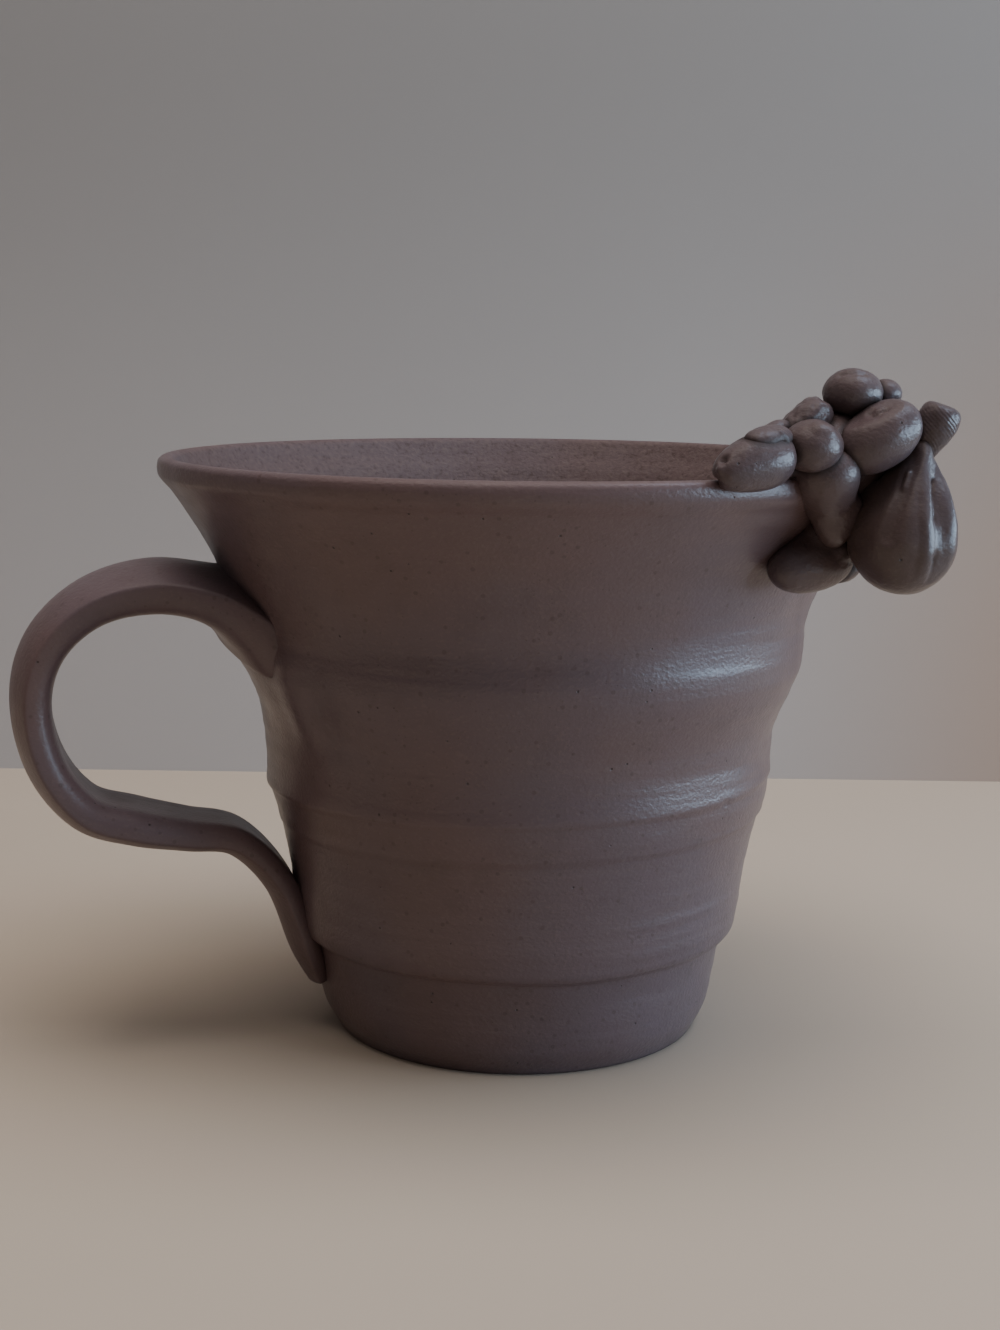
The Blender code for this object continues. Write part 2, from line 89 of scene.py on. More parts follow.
class Signal:
    """A socket of a material's recipe that can stand in a Python sum."""

    def __init__(self, recipe: "Recipe", socket: bpy.types.NodeSocket) -> None:
        """Keeps the socket and the recipe that it belongs to."""
        self.recipe = recipe
        self.socket = socket

    def __add__(self, other: "Signal | float") -> "Signal":
        """This plus the other."""
        return self.recipe.sum_of("ADD", self, other)

    def __radd__(self, other: float) -> "Signal":
        """The other plus this."""
        return self.recipe.sum_of("ADD", other, self)

    def __sub__(self, other: "Signal | float") -> "Signal":
        """This minus the other."""
        return self.recipe.sum_of("SUBTRACT", self, other)

    def __rsub__(self, other: float) -> "Signal":
        """The other minus this."""
        return self.recipe.sum_of("SUBTRACT", other, self)

    def __mul__(self, other: "Signal | float") -> "Signal":
        """This times the other."""
        return self.recipe.sum_of("MULTIPLY", self, other)

    def __rmul__(self, other: float) -> "Signal":
        """The other times this."""
        return self.recipe.sum_of("MULTIPLY", other, self)

    def between(self, low: float, high: float) -> "Signal":
        """Rises smoothly with this signal, or falls if high is the smaller.

        Args:
            low: The value of this signal at which the result is still 0.
            high: The value at which it is 1.

        Returns:
            A value from 0 to 1.
        """
        sockets = {"Value": self, "From Min": low, "From Max": high}
        settings = {"interpolation_type": "SMOOTHSTEP"}
        return self.recipe.node("ShaderNodeMapRange", settings, sockets)


class Recipe:
    """One material's nodes, mixed from noises, cells and sums."""

    def __init__(self, name: str) -> None:
        """Starts an empty material.

        Args:
            name: The material's name.
        """
        self.material = bpy.data.materials.new(name)
        self.material.use_nodes = True
        self.tree = self.material.node_tree
        self.tree.nodes.clear()
        self.place = self.node("ShaderNodeTexCoord", out="Object")

    def node(
        self,
        kind: str,
        settings: dict[str, object] | None = None,
        sockets: dict[str | int, object] | None = None,
        out: str | int = 0,
    ) -> Signal:
        """Adds one node.

        Args:
            kind: The node's type.
            settings: Its settings, made before its sockets are filled.
            sockets: A value or a signal for each socket that isn't left alone.
            out: The output that is wanted.

        Returns:
            The node's output as a signal.
        """
        made = self.tree.nodes.new(kind)
        for name, value in (settings or {}).items():
            setattr(made, name, value)
        for key, value in (sockets or {}).items():
            if isinstance(value, Signal):
                self.tree.links.new(value.socket, made.inputs[key])
            else:
                made.inputs[key].default_value = value
        return Signal(self, made.outputs[out] if made.outputs else made.inputs[0])

    def sum_of(self, operation: str, first: Signal | float, second: Signal | float) -> Signal:
        """One Math node on two values."""
        return self.node("ShaderNodeMath", {"operation": operation}, {0: first, 1: second})

    def attribute(self, name: str) -> Signal:
        """A value that the mesh's vertices carry, or 0 on a mesh without it."""
        return self.node("ShaderNodeAttribute", {"attribute_name": name}, None, "Fac")

    def cloud(self, size: float, detail: float = 2.0, stretch: Triple = (1.0, 1.0, 1.0)) -> Signal:
        """A soft noise.

        Args:
            size: How large its patches are, in millimetres.
            detail: How many finer noises lie on it.
            stretch: How much smaller the patches are along each axis.

        Returns:
            A value from about 0 to 1.
        """
        place = self.node("ShaderNodeMapping", None, {"Vector": self.place, "Scale": stretch})
        sockets = {"Vector": place, "Scale": 1 / (size * MILLIMETRE), "Detail": detail}
        return self.node("ShaderNodeTexNoise", None, sockets)

    def cells(self, size: float, kept: float, reach: float) -> Signal:
        """Round spots scattered one to a cell.

        Args:
            size: The width of a cell, in millimetres.
            kept: The part of the cells that have a spot, from 0 to 1.
            reach: The spot's radius as a part of the cell.

        Returns:
            1 inside a spot and 0 outside it, with a soft edge.
        """
        sockets = {"Vector": self.place, "Scale": 1 / (size * MILLIMETRE)}
        distance = self.node("ShaderNodeTexVoronoi", None, sockets, "Distance")
        shade = self.node("ShaderNodeTexVoronoi", None, sockets, "Color")
        chosen = self.node("ShaderNodeSeparateColor", None, {"Color": shade}, "Red")
        return distance.between(reach, reach * 0.55) * chosen.between(kept + 0.02, kept - 0.02)

    def tint(
        self, factor: Signal | float, first: Signal | Colour, second: Signal | Colour
    ) -> Signal:
        """Mixes two colours.

        Args:
            factor: How much of the second colour comes through.
            first: The first colour.
            second: The second colour.

        Returns:
            The mixed colour.
        """
        first, second = (c if isinstance(c, Signal) else (*c, 1.0) for c in (first, second))
        settings = {"data_type": "RGBA", "clamp_factor": True}
        return self.node("ShaderNodeMix", settings, {0: factor, 6: first, 7: second}, 2)

    def close(self, shader: Signal) -> bpy.types.Material:
        """Joins the shader to the material's output."""
        self.node("ShaderNodeOutputMaterial", None, {"Surface": shader})
        return self.material


class Working(Enum):
    """How the clay's skin was worked before firing."""

    THROWN = "thrown"
    PULLED = "pulled"
    MODELLED = "modelled"


@dataclass(frozen=True)
class Stoneware:
    """Bare stoneware, fired dark, with iron specks and patches where the flame passed, and painted
    shade in the seams where modelled lumps meet.

    The two heights are how far the grain and the finger lines stand up, in millimetres.
    """

    name: str
    working: Working
    clay: Colour = (0.129, 0.085, 0.086)
    flashed: Colour = (0.119, 0.085, 0.095)
    iron: Colour = (0.064, 0.040, 0.037)
    dust: Colour = (0.205, 0.155, 0.135)
    pore: Colour = (0.018, 0.012, 0.010)
    # The colour of the painted shade that darkens the seams between lumps.
    crevice_shade: Colour = (0.022, 0.014, 0.013)
    roughness: float = 0.35
    grain_height: float = 0.072
    line_height: float = 0.030

    def lines(self, recipe: Recipe) -> Signal:
        """The fine marks of the fingers, in the direction that the clay was worked in.

        Args:
            recipe: The material that they are for.

        Returns:
            A value from about 0 to 1.
        """
        if self.working is Working.THROWN:
            return recipe.cloud(14.0, 3.0, (1.0, 1.0, 16.0))
        if self.working is Working.PULLED:
            across = recipe.attribute("across")
            sideways = recipe.node("ShaderNodeCombineXYZ", None, {"X": across})
            lengthwise = {"Vector": recipe.place, "Scale": (40.0, 40.0, 40.0)}
            along = recipe.node("ShaderNodeMapping", None, lengthwise)
            both = {0: sideways, 1: along}
            drawn = recipe.node("ShaderNodeVectorMath", {"operation": "ADD"}, both)
            sockets = {"Vector": drawn, "Scale": 1.0, "Detail": 3.0}
            return recipe.node("ShaderNodeTexNoise", None, sockets)
        return recipe.cloud(2.4, 3.0)

    def material(self) -> bpy.types.Material:
        """Mixes the finish.

        Returns:
            The material.
        """
        recipe = Recipe(self.name)
        patches = recipe.cloud(30.0, 2.0)
        mottle = recipe.cloud(4.2, 4.0)
        grain = recipe.cloud(0.58, 2.0, (1.0, 1.0, 1.35))
        lines = self.lines(recipe)
        specks = recipe.cells(1.7, 0.50, 0.24)
        pepper = recipe.cells(0.8, 0.25, 0.20)
        pores = recipe.cells(2.4, 0.26, 0.09)
        inside = recipe.attribute("inside")
        # How near a neighbouring lump is, which sets the painted seam shade.
        seam_shade = recipe.attribute("seam_shade")
        coarse = recipe.cloud(0.75, 3.0)

        layers = (
            (mottle.between(0.48, 0.76) * 0.16, self.iron),
            (lines.between(0.52, 0.80) * 0.08, self.dust),
            (grain.between(0.54, 0.72) * 0.16, self.dust),
            (specks * 0.42, self.iron),
            (pepper * 0.40, self.iron),
            (coarse.between(0.50, 0.66) * inside * 0.30, self.dust),
            (coarse.between(0.44, 0.32) * inside * 0.75, self.iron),
            (inside * 0.42, self.iron),
            (pores * 0.65, self.pore),
            # Painted shade: the seams where lumps meet are darkened.
            (seam_shade * 0.75, self.crevice_shade),
        )
        colour = recipe.tint(patches.between(0.38, 0.64), self.clay, self.flashed)
        for cover, shade in layers:
            colour = recipe.tint(cover, colour, shade)

        height = grain * self.grain_height + lines * self.line_height - pores * 0.10
        height = height + mottle * 0.04 + coarse * inside * 0.09
        bump = recipe.node("ShaderNodeBump", None, {"Height": height, "Distance": MILLIMETRE})
        roughness = self.roughness + (mottle - 0.5) * 0.20 + inside * 0.25 + seam_shade * 0.3
        sockets = {"Base Color": colour, "Roughness": roughness, "Normal": bump}
        return recipe.close(recipe.node("ShaderNodeBsdfPrincipled", None, sockets))


@dataclass(frozen=True)
class Plaster:
    """A plain matte surface of the studio.

    An upright one can fade to a high colour further up, painted as shade, and to a glow further
    right, painted as warm light, and can be clear from behind. Both spans are metres, from where
    the fading starts to where it is whole.
    """

    name: str
    colour: Colour
    # The high colour is a painted shade further up, and the glow is a painted warm light further
    # right.
    high: Colour | None = None
    glow: Colour | None = None
    see_through_back: bool = False
    shaded_high_span: Point = (0.02, 0.18)
    painted_glow_span: Point = (0.03, 0.15)

    def material(self) -> bpy.types.Material:
        """Mixes the finish.

        Returns:
            The material.
        """
        recipe = Recipe(self.name)
        shade = recipe.cloud(60.0, 3.0)
        deeper = tuple(part * 0.94 for part in self.colour)
        colour = recipe.tint(shade, self.colour, deeper)
        split = {"Vector": recipe.place}
        # Painted warm light: the colour warms further right.
        if self.glow:
            right = recipe.node("ShaderNodeSeparateXYZ", None, split, "X")
            colour = recipe.tint(right.between(*self.painted_glow_span), colour, self.glow)
        # Painted shade: the colour darkens further up.
        if self.high:
            up = recipe.node("ShaderNodeSeparateXYZ", None, split, "Z")
            colour = recipe.tint(up.between(*self.shaded_high_span), colour, self.high)
        sockets = {"Base Color": colour, "Roughness": 0.8}
        shader = recipe.node("ShaderNodeBsdfPrincipled", None, sockets)
        if self.see_through_back:
            behind = recipe.node("ShaderNodeNewGeometry", None, None, "Backfacing")
            clear = recipe.node("ShaderNodeBsdfTransparent")
            shader = recipe.node("ShaderNodeMixShader", None, {0: behind, 1: shader, 2: clear})
        return recipe.close(shader)


def finished_piece(
    shape: bmesh.types.BMesh, name: str, node: str, material: bpy.types.Material
) -> bpy.types.Object:
    """Makes a shape into a piece that stands for one node.

    Args:
        shape: The mesh, in millimetres.
        name: The piece's name.
        node: The solid that it stands for.
        material: Its finish.

    Returns:
        The piece, riding on the mug.
    """
    bmesh.ops.remove_doubles(shape, verts=shape.verts, dist=0.001)
    bmesh.ops.recalc_face_normals(shape, faces=shape.faces)
    bmesh.ops.scale(shape, vec=Vector((MILLIMETRE,) * 3), verts=shape.verts)
    mesh = bpy.data.meshes.new(name)
    shape.to_mesh(mesh)
    shape.free()
    mesh.shade_smooth()
    mesh.materials.append(material)
    piece = bpy.data.objects.new(name, mesh)
    bpy.context.scene.collection.objects.link(piece)
    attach(piece, "root")
    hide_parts(node)
    LOG.info("%s: %d faces", name, len(mesh.polygons))
    return piece


@dataclass(frozen=True)
class WallCurve:
    """The wall's outer outline, from the foot's edge to the rim, as (height, radius) stations."""

    stations: tuple[Point, ...] = (
        (0.0, 27.7),
        (4.0, 29.8),
        (14.3, 31.8),
        (14.7, 32.1),
        (15.2, 33.1),
        (16.2, 33.6),
        (25.0, 34.78),
        (33.0, 36.5),
        (38.0, 37.91),
        (45.5, 38.39),
        (58.0, 42.5),
        (61.5, 42.61),
        (71.0, 45.52),
        (77.0, 48.82),
        (84.5, 54.0),
    )
    thickness: float = 3.8
    lip_thickness: float = 3.2
    thinning_height: float = 13.5

    @property
    def rim_height(self) -> float:
        """The height of the middle of the rounded lip."""
        return self.stations[-1][0]

    @property
    def rim_radius(self) -> float:
        """The rim's outer radius."""
        return self.stations[-1][1]

    @property
    def lip_top(self) -> float:
        """The height of the top of the rounded lip."""
        return self.rim_height + self.lip_thickness / 2

    @property
    def lip_middle(self) -> float:
        """The radius of the middle of the rounded lip."""
        return self.rim_radius - self.lip_thickness / 2

    def slope(self, index: int) -> float:
        """The outline's slope at a station, which never overshoots its neighbours.

        Args:
            index: The station's place in the list.

        Returns:
            How much the radius grows for each millimetre up.
        """
        steps = []
        for lower in (index - 1, index):
            if 0 <= lower < len(self.stations) - 1:
                (low, inner), (high, outer) = self.stations[lower : lower + 2]
                steps.append((outer - inner) / (high - low))
        if len(steps) == 1:
            return steps[0]
        below, above = steps
        return 0.0 if below * above <= 0 else 2 * below * above / (below + above)

    def radius(self, height: float) -> float:
        """The wall's outer radius.

        Args:
            height: The height above the table.

        Returns:
            The radius, on a smooth curve through the stations.
        """
        height = min(max(height, 0.0), self.rim_height)
        index = 0
        while index < len(self.stations) - 2 and height > self.stations[index + 1][0]:
            index += 1
        (low, inner), (high, outer) = self.stations[index : index + 2]
        rise = high - low
        t = (height - low) / rise
        return (
            (2 * t**3 - 3 * t**2 + 1) * inner
            + (t**3 - 2 * t**2 + t) * rise * self.slope(index)
            + (3 * t**2 - 2 * t**3) * outer
            + (t**3 - t**2) * rise * self.slope(index + 1)
        )

    def wall(self, height: float) -> float:
        """The wall's thickness, which thins towards the lip."""
        part = max(0.0, 1 - (self.rim_height - height) / self.thinning_height)
        return self.thickness + (self.lip_thickness - self.thickness) * part


@dataclass(frozen=True)
class WallMark:
    """A soft swell of the outer wall, or a hollow where proud is negative.

    Its azimuth and its reach around the mug are degrees, and the rest is millimetres.
    """

    azimuth: float
    around: float
    height: float
    upright: float
    proud: float

    def push(self, azimuth: float, height: float) -> float:
        """How far it moves the wall outwards at an azimuth in degrees and a height."""
        away = (azimuth - self.azimuth + 180) % 360 - 180
        return self.proud * hump(away, 0.0, self.around) * hump(height, self.height, self.upright)


@dataclass
class ThrownCup:
    """The cup, thrown on a wheel, with its throwing lines, trimmed foot and slight wobble.

    A place on the wall is its azimuth in degrees and its height. The lip's arc is radians, from
    the outer wall over the top to where the inner wall leaves it.
    """

    curve: WallCurve = field(default_factory=WallCurve)
    floor: float = 5.5
    corner: float = 8.0
    turns: int = 208
    outer_spacing: float = 0.42
    inner_spacing: float = 0.95
    spiral_start: float = 33.2
    spiral_pitch: float = 5.5
    spiral_height: float = 0.42
    spiral_fall: float = 4.2
    spiral_step: float = 0.45
    collar_height: float = 0.33
    lip_arc: float = 2.6
    inner_ring_height: float = 78.8
    inner_ring_reach: float = 2.2
    inner_ring_depth: float = 0.45
    blister: Point = (-39.6, 39.4)
    pit: Point = (-113.3, 50.4)
    pressed: tuple[WallMark, ...] = (
        WallMark(190.0, 26.0, 52.5, 6.0, -0.85),
        WallMark(194.0, 26.0, 58.8, 4.2, 0.45),
        WallMark(-12.0, 34.0, 71.0, 9.0, 0.40),
        WallMark(-44.0, 40.0, 22.7, 1.2, 0.14),
        WallMark(-44.0, 40.0, 18.2, 1.2, 0.14),
    )

    def inner_points(self) -> list[Point]:
        """The hollow's outline from the middle of the floor up to the lip.

        Returns:
            Points of (radius, height).
        """
        top = self.floor + self.corner
        middle = self.curve.radius(top) - self.curve.wall(top) - self.corner
        steps = max(2, round(middle / self.inner_spacing))
        points = [(middle * step / steps, self.floor) for step in range(steps)]
        for step in range(12):
            turn = math.pi / 2 * step / 12
            height = top - self.corner * math.cos(turn)
            points.append((middle + self.corner * math.sin(turn), height))
        count = round((self.curve.rim_height - top) / self.inner_spacing)
        for step in range(count):
            height = top + (self.curve.rim_height - top) * step / count
            points.append((self.curve.radius(height) - self.curve.wall(height), height))
        return points

    def profile(self) -> list[Point]:
        """The cup's half section: the hollow, the lip, the wall and the foot.

        Returns:
            Points of (radius, height).
        """
        points = self.inner_points()
        half = self.curve.lip_thickness / 2
        for step in range(15):
            turn = self.lip_arc * (1 - step / 14)
            height = self.curve.rim_height + half * math.sin(turn)
            points.append((self.curve.lip_middle + half * math.cos(turn), height))
        count = round(self.curve.rim_height / self.outer_spacing)
        for step in range(count + 1):
            height = self.curve.rim_height * (1 - step / count)
            points.append((self.curve.radius(height), height))
        foot = self.curve.radius(0.0)
        points.extend((foot * part, 0.0) for part in (0.985, 0.9, 0.75, 0.6, 0.45, 0.3, 0.15, 0.0))
        return points

    def spiral(self, azimuth: float, height: float) -> float:
        """The throwing line that climbs the lower wall: proud above, with a crisp step below.

        Args:
            azimuth: The place's azimuth.
            height: Its height.

        Returns:
            How far the wall stands proud there.
        """
        proud = 0.0
        for turn in range(-1, 3):
            line = self.spiral_start + self.spiral_pitch * (turn + (azimuth + 90) / 360)
            strength = hump(line, 36.5, 7.5)
            above = height - line
            if above >= 0:
                proud += strength * max(0.0, 1 - above / self.spiral_fall) ** 1.5
            elif above > -self.spiral_step:
                proud += strength * smooth_step(above, -self.spiral_step, 0.0)
        return proud * self.spiral_height

    def beside_handle(self, azimuth: float, height: float) -> float:
        """The upright ridge and valley that the potter's hand left beside the handle.

        Args:
            azimuth: The place's azimuth.
            height: Its height.

        Returns:
            How far the wall stands proud there.
        """
        away = azimuth % 360 - 180
        begun = smooth_step(height, 45.0, 50.0)
        ridge = 0.50 * hump(away, 41.0, 6.0) * begun * smooth_step(height, 63.0, 58.0)
        valley = 0.40 * hump(away, 50.0, 7.0) * begun * smooth_step(height, 64.0, 58.0)
        return ridge - valley

    def relief(self, azimuth: float, height: float) -> float:
        """The outer wall's relief, from the slow wobble to the finger lines.

        Args:
            azimuth: The place's azimuth.
            height: Its height.

        Returns:
            How far the wall stands proud there.
        """
        angle = math.radians(azimuth)
        around = Vector((math.cos(angle), math.sin(angle), 0.0))
        slow = noise.noise(around * 1.4 + Vector((0.0, 0.0, height * 0.05))) * 0.22
        rings = noise.noise(around * 1.6 + Vector((3.1, 0.0, height * 0.42))) * 0.10
        fine = noise.noise(around * 2.6 + Vector((0.0, 7.3, height * 1.15))) * 0.05
        burst = 0.22 * self.spot(azimuth, height, self.blister, 1.7)
        burst -= 0.55 * self.spot(azimuth, height, self.blister, 0.9)
        pricked = 0.35 * self.spot(azimuth, height, self.pit, 0.7)
        below_rim = self.curve.rim_height - height
        collar = hump(below_rim, 1.4, 1.8) - smooth_step(below_rim, 1.2, -0.2)
        marks = self.spiral(azimuth, height) + self.beside_handle(azimuth, height)
        marks += sum(mark.push(azimuth, height) for mark in self.pressed)
        return slow + rings + fine + burst - pricked + self.collar_height * collar + marks

    def spot(self, azimuth: float, height: float, middle: Point, reach: float) -> float:
        """A round mark on the wall.

        Args:
            azimuth: The place's azimuth.
            height: Its height.
            middle: The azimuth and the height of the mark's middle.
            reach: The mark's radius.

        Returns:
            1 at its middle, falling to 0 at its edge.
        """
        across = math.radians(azimuth - middle[0]) * self.curve.radius(middle[1])
        return hump(math.hypot(across, height - middle[1]), 0.0, reach)

    def work(self, vert: bmesh.types.BMVert, inside: bmesh.types.BMLayerItem) -> None:
        """Pushes one point of the turned cup to where the potter's fingers left it.

        Args:
            vert: The point.
            inside: The layer that says how far the point is on the inner side of the wall.
        """
        radius = math.hypot(vert.co.x, vert.co.y)
        height = vert.co.z
        azimuth = math.degrees(math.atan2(vert.co.y, vert.co.x))
        middle = self.curve.radius(height) - self.curve.wall(height) / 2
        within = smooth_step(middle - radius, -1.2, 1.4) if height > self.floor - 1 else 0.0
        vert[inside] = within
        if radius < 1.0 or height < 0.2:
            return
        outward = Vector((vert.co.x / radius, vert.co.y / radius, 0.0))
        sway = noise.noise(outward * 0.9 + Vector((5.0, 2.0, height * 0.012)))
        push = sway * 0.20 * smooth_step(height, 40.0, 84.0)
        worked = smooth_step(height, 0.2, 2.0) * smooth_step(height, 86.4, 84.2) * (1 - within)
        push += self.relief(azimuth, height) * worked
        grit = noise.noise(vert.co * 0.9) * 0.05 + noise.noise(vert.co * 0.22) * 0.12
        ring = self.inner_ring_depth * hump(height, self.inner_ring_height, self.inner_ring_reach)
        push -= (grit - ring) * within * smooth_step(height, self.floor, self.floor + 6)
        vert.co += outward * push
        if 10 < height < 20:
            vert.co.z += noise.noise(outward * 2.2) * 0.22 * hump(height, 15.0, 5.0)

    def build(self, material: bpy.types.Material) -> bpy.types.Object:
        """Turns the cup and works its surface.

        Args:
            material: Its finish.

        Returns:
            The piece.
        """
        shape = bmesh.new()
        row = [shape.verts.new((radius, 0.0, height)) for radius, height in self.profile()]
        edges = [shape.edges.new(pair) for pair in zip(row, row[1:])]
        bmesh.ops.spin(
            shape,
            geom=row + edges,
            cent=Vector(),
            axis=Vector((0.0, 0.0, 1.0)),
            angle=2 * math.pi,
            steps=self.turns,
            use_merge=True,
        )
        bmesh.ops.remove_doubles(shape, verts=shape.verts, dist=0.001)
        inside = shape.verts.layers.float.new("inside")
        for vert in shape.verts:
            self.work(vert, inside)
        return finished_piece(shape, "thrown_cup", "cup_body", material)


@dataclass(frozen=True)
class Knot:
    """One point of the strap's middle line."""

    reach: float
    height: float
    width: float
    thickness: float


@dataclass
class PulledHandle:
    """The strap handle: flat inside, crowned outside, smeared onto the wall at both ends.

    Its root flares out within flare_reach of the wall. near_spread and far_spread are how much
    wider it gets there on the side that faces the camera and on the other one.
    """

    curve: WallCurve = field(default_factory=WallCurve)
    azimuth: float = 195.0
    width: float = 15.0
    thickness: float = 5.8
    edge: float = 3.7
    root_height: float = 66.6
    root_depth: float = 4.0
    arch_height: float = 68.0
    arch_reach: float = 10.8
    bend_reach: float = 28.5
    bend_height: float = 51.8
    belly_height: float = 32.9
    belly_reach: float = 14.2
    knee_height: float = 29.8
    knee_reach: float = 7.5
    flare_reach: float = 3.6
    near_spread: float = 0.75
    far_spread: float = 0.40
    root_droop: float = 5.2
    root_sink: float = 4.0
    root_bite: float = 3.3
    lengthwise_steps: int = 260
    across_rounds: int = 3

    @cached_property
    def knots(self) -> list[Knot]:
        """The middle line from the root over the arch, round the bend and down the tail.

        Returns:
            The knots in order, with the strap's width and thickness as ratios at each.
        """
        root = self.curve.radius(self.root_height)
        arch, bend, belly = root + self.arch_reach, root + self.bend_reach, root + self.belly_reach
        knots = [
            Knot(root - self.root_depth, self.root_height - self.root_depth / 4, 1.60, 1.45),
            Knot(root + self.root_depth / 4, self.root_height, 1.425, 1.24),
        ]
        for step in range(4):
            turn = math.pi / 2 * step / 3
            height = self.bend_height + (self.arch_height - self.bend_height) * math.cos(turn)
            swell = 1.25 - 0.25 * math.sin(turn)
            knots.append(Knot(arch + (bend - arch) * math.sin(turn), height, swell, swell))
        for step in range(1, 4):
            turn = math.pi / 2 * step / 3
            height = self.bend_height - (self.bend_height - self.belly_height) * math.sin(turn)
            swell = 1.04 - 0.04 * math.cos(turn)
            knots.append(Knot(belly + (bend - belly) * math.cos(turn), height, swell, swell))
        knee = self.curve.radius(self.knee_height) + self.knee_reach
        return knots + [
            Knot((belly + knee) / 2, (self.belly_height + self.knee_height) / 2, 0.93, 0.93),
            Knot(knee, self.knee_height, 0.84, 0.82),
            Knot(self.curve.radius(23.0) + 2.5, 23.0, 0.78, 0.76),
            Knot(self.curve.radius(13.0) + 1.9, 13.0, 0.78, 0.74),
            Knot(self.curve.radius(8.0) + 0.8, 8.0, 0.62, 0.50),
        ]

    def along(self, part: float) -> Knot:
        """A point of the smooth line through the knots.

        Args:
            part: How far along, from 0 at the root to 1 at the tail's end.

        Returns:
            The line's point and the strap's size there.
        """
        ends = [self.knots[0], *self.knots, self.knots[-1]]
        spans = len(self.knots) - 1
        index = min(int(part * spans), spans - 1)
        t = part * spans - index
        weights = (
            (-(t**3) + 2 * t**2 - t) / 2,
            (3 * t**3 - 5 * t**2 + 2) / 2,
            (-3 * t**3 + 4 * t**2 + t) / 2,
            (t**3 - t**2) / 2,
        )
        near = ends[index : index + 4]
        names = ("reach", "height", "width", "thickness")
        values = (sum(w * getattr(k, name) for w, k in zip(weights, near)) for name in names)
        return Knot(*values)

    def section(self) -> list[Point]:
        """The strap's section at the bend, as (across, outwards) from the middle of its inner face.

        Returns:
            A closed outline whose corners were rounded by cutting them again and again.
        """
        inner = -self.thickness / 2
        half = self.width / 2
        crown = self.thickness - self.edge
        outline = [(0.0, inner), (half * 0.45, inner), (half * 0.70, inner + 0.05)]
        outline += [(half * 0.84, inner + 0.45), (half * 0.94, inner + 1.15), (half, inner + 2.1)]
        outline += [(half * 1.015, inner + self.edge * 0.88), (half * 1.005, inner + self.edge)]
        for part in (0.97, 0.88, 0.70, 0.45, 0.15):
            outline.append((half * part, inner + self.edge + crown * (1 - part**2) + 0.12))
        outline += [(-across, out) for across, out in reversed(outline[1:])]
        for _ in range(self.across_rounds):
            cut = []
            for (ax, ay), (bx, by) in zip(outline, outline[1:] + outline[:1]):
                cut.append((0.75 * ax + 0.25 * bx, 0.75 * ay + 0.25 * by))
                cut.append((0.25 * ax + 0.75 * bx, 0.25 * ay + 0.75 * by))
            outline = cut
        return outline

    def placed(self, part: float, across: float, out: float) -> Vector:
        """Where a point of the section lies on the mug.

        Args:
            part: How far along the strap.
            across: The point's place across the strap, at the bend's size.
            out: Its place outwards from the middle line, at the bend's size.

        Returns:
            The point, before the handle is turned to its side of the mug.
        """
        knot = self.along(part)
        before, after = self.along(max(part - 0.004, 0.0)), self.along(min(part + 0.004, 1.0))
        run = Vector((after.reach - before.reach, after.height - before.height)).normalized()
        wall = self.curve.radius(knot.height)
        standoff = max(knot.reach - wall, 0.0)
        upper = part < 0.5
        flare = math.exp(-((standoff / self.flare_reach) ** 1.3)) if upper else 0.0
        spread = self.near_spread if across > 0 else self.far_spread
        across *= knot.width * (1 + spread * flare)
        out *= knot.thickness * (1 + 0.12 * flare)
        if out < 0:
            out *= 1 + 0.75 * flare**2
        reach = knot.reach - run.y * out
        height = knot.height + run.x * out
        reach += noise.noise(Vector((across * 0.08, height * 0.06, 1.7))) * 0.25
        height -= flare**2 * (across / 18.0) ** 2 * self.root_droop
        sink = self.root_sink * flare**1.5 * min(abs(across) / 20.0, 1.0) ** 2.5
        reach = max(reach - sink, self.curve.radius(height) - self.root_bite)
        close = math.exp(-standoff / 5.0)
        bent = Vector((reach * math.cos(across / wall), reach * math.sin(across / wall), height))
        straight = Vector((reach, across, height))
        return straight.lerp(bent, close)

    def build(self, material: bpy.types.Material) -> bpy.types.Object:
        """Rolls a sheet into the strap and bends it along its line.

        Args:
            material: Its finish.

        Returns:
            The piece.
        """
        outline = self.section()
        count = len(outline)
        shape = bmesh.new()
        bmesh.ops.create_grid(shape, x_segments=self.lengthwise_steps, y_segments=count, size=1.0)
        across_layer = shape.verts.layers.float.new("across")
        turned = Matrix.Rotation(math.radians(self.azimuth), 3, "Z")
        for vert in shape.verts:
            part = (vert.co.x + 1) / 2
            across, out = outline[round((vert.co.y + 1) / 2 * count) % count]
            vert[across_layer] = across
            vert.co = turned @ self.placed(part, across, out)
        bmesh.ops.remove_doubles(shape, verts=shape.verts, dist=0.001)
        rims = [edge for edge in shape.edges if edge.is_boundary]
        ends = bmesh.ops.holes_fill(shape, edges=rims, sides=0)["faces"]
        bmesh.ops.triangulate(shape, faces=ends)
        return finished_piece(shape, "pulled_handle", "handle", material)


